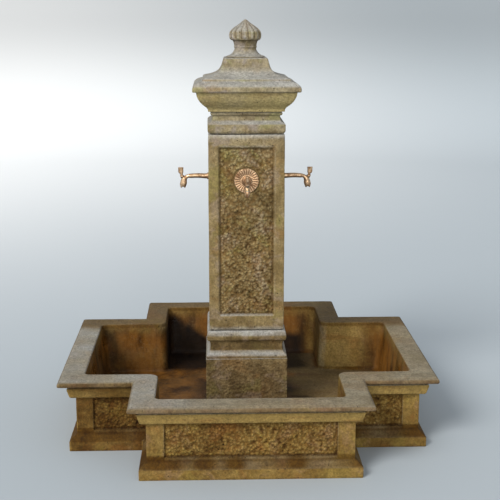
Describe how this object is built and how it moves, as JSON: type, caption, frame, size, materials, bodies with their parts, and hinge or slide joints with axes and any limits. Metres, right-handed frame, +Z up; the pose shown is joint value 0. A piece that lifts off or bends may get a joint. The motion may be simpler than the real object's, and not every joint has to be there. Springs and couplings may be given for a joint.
{
  "type": "pillar drinking fountain",
  "caption": "Square cast-stone pillar with a lift-off cap, ribbed finial and a turn-key bronze tap on each face, standing in a cross-shaped trough.",
  "frame": {"origin": "centre of the base, on the ground", "axes": "+Z up along the pillar, the front tap points along -Y, +X to the right seen from the front"},
  "size_m": [1.42, 1.42, 1.59],
  "materials": {
    "basin_stone": "aged cast stone, tooled panels, stained inside",
    "pillar_stone": "aged cast stone, tooled panels",
    "bronze": "polished bronze",
    "brass": "machined brass",
    "copper": "drawn copper",
    "standpipe_bronze": "dulled bronze",
    "rubber": "matt black",
    "valve_plastic": "white fluoropolymer",
    "steel": "stainless",
    "chrome": "plated",
    "lead": "dull grey lead"
  },
  "bodies": {
    "fountain": {"backing_washers": "steel", "basin": "basin_stone", "branch_pipes": "copper", "cap_dowels": "steel", "cap_setting_pads": "lead", "clip_bolts": "steel", "column": "pillar_stone", "column_dowels": "steel", "column_setting_pads": "lead", "coupling_nuts": "brass", "front_rosette": "bronze", "front_tap_body": "bronze", "gland_nuts": "bronze", "gland_packings": "rubber", "left_rosette": "bronze", "left_tap_body": "bronze", "lock_nuts": "brass", "lower_riser": "copper", "manifold": "brass", "pedestal": "pillar_stone", "pedestal_setting_pads": "lead", "pipe_clips": "steel", "rear_rosette": "bronze", "rear_tap_body": "bronze", "right_rosette": "bronze", "right_tap_body": "bronze", "riser_compression_nuts": "brass", "riser_pipe": "copper", "seat_discs": "valve_plastic", "stop_valve_body": "brass", "stop_valve_gland_nut": "brass", "stop_valve_seats": "valve_plastic", "supply_back_nut": "brass", "supply_fitting": "brass", "supply_gasket": "rubber", "union_washers": "rubber", "wall_seals": "rubber", "waste_back_nut": "brass", "waste_fitting": "brass", "waste_gasket": "rubber"},
    "cap_lift": {"cap": "pillar_stone", "finial": "pillar_stone", "finial_stud": "steel", "finial_washer": "steel", "finial_nut": "steel"},
    "standpipe": {"overflow_standpipe": "standpipe_bronze", "standpipe_strainer": "standpipe_bronze"},
    "stop_valve": {"stop_valve_ball": "chrome", "stop_valve_stem": "steel", "stop_valve_lever": "steel", "stop_valve_lever_nut": "steel"},
    "front_key": {"front_tap_key": "bronze", "front_spindle": "brass"},
    "left_key": {"left_tap_key": "bronze", "left_spindle": "brass"},
    "rear_key": {"rear_tap_key": "bronze", "rear_spindle": "brass"},
    "right_key": {"right_tap_key": "bronze", "right_spindle": "brass"}
  },
  "joints": [
    {"name": "front_key_turn", "type": "hinge", "parent": "fountain", "child": "front_key", "pos_m": [0, -0.25, 0.985], "axis": [0, 0, 1], "range_deg": [0, 90]},
    {"name": "left_key_turn", "type": "hinge", "parent": "fountain", "child": "left_key", "pos_m": [-0.25, 0, 0.985], "axis": [0, 0, 1], "range_deg": [0, 90]},
    {"name": "rear_key_turn", "type": "hinge", "parent": "fountain", "child": "rear_key", "pos_m": [0, 0.25, 0.985], "axis": [0, 0, 1], "range_deg": [0, 90]},
    {"name": "right_key_turn", "type": "hinge", "parent": "fountain", "child": "right_key", "pos_m": [0.25, 0, 0.985], "axis": [0, 0, 1], "range_deg": [0, 90]},
    {"name": "stop_valve_turn", "type": "hinge", "parent": "fountain", "child": "stop_valve", "pos_m": [0, 0, 0.89], "axis": [0, 1, 0], "range_deg": [0, 90]},
    {"name": "standpipe_lift", "type": "slide", "parent": "fountain", "child": "standpipe", "axis": [0, 0, 1], "range_m": [0, 0.2]},
    {"name": "cap_lift_off", "type": "slide", "parent": "fountain", "child": "cap_lift", "axis": [0, 0, 1], "range_m": [0, 0.3]}
  ]
}
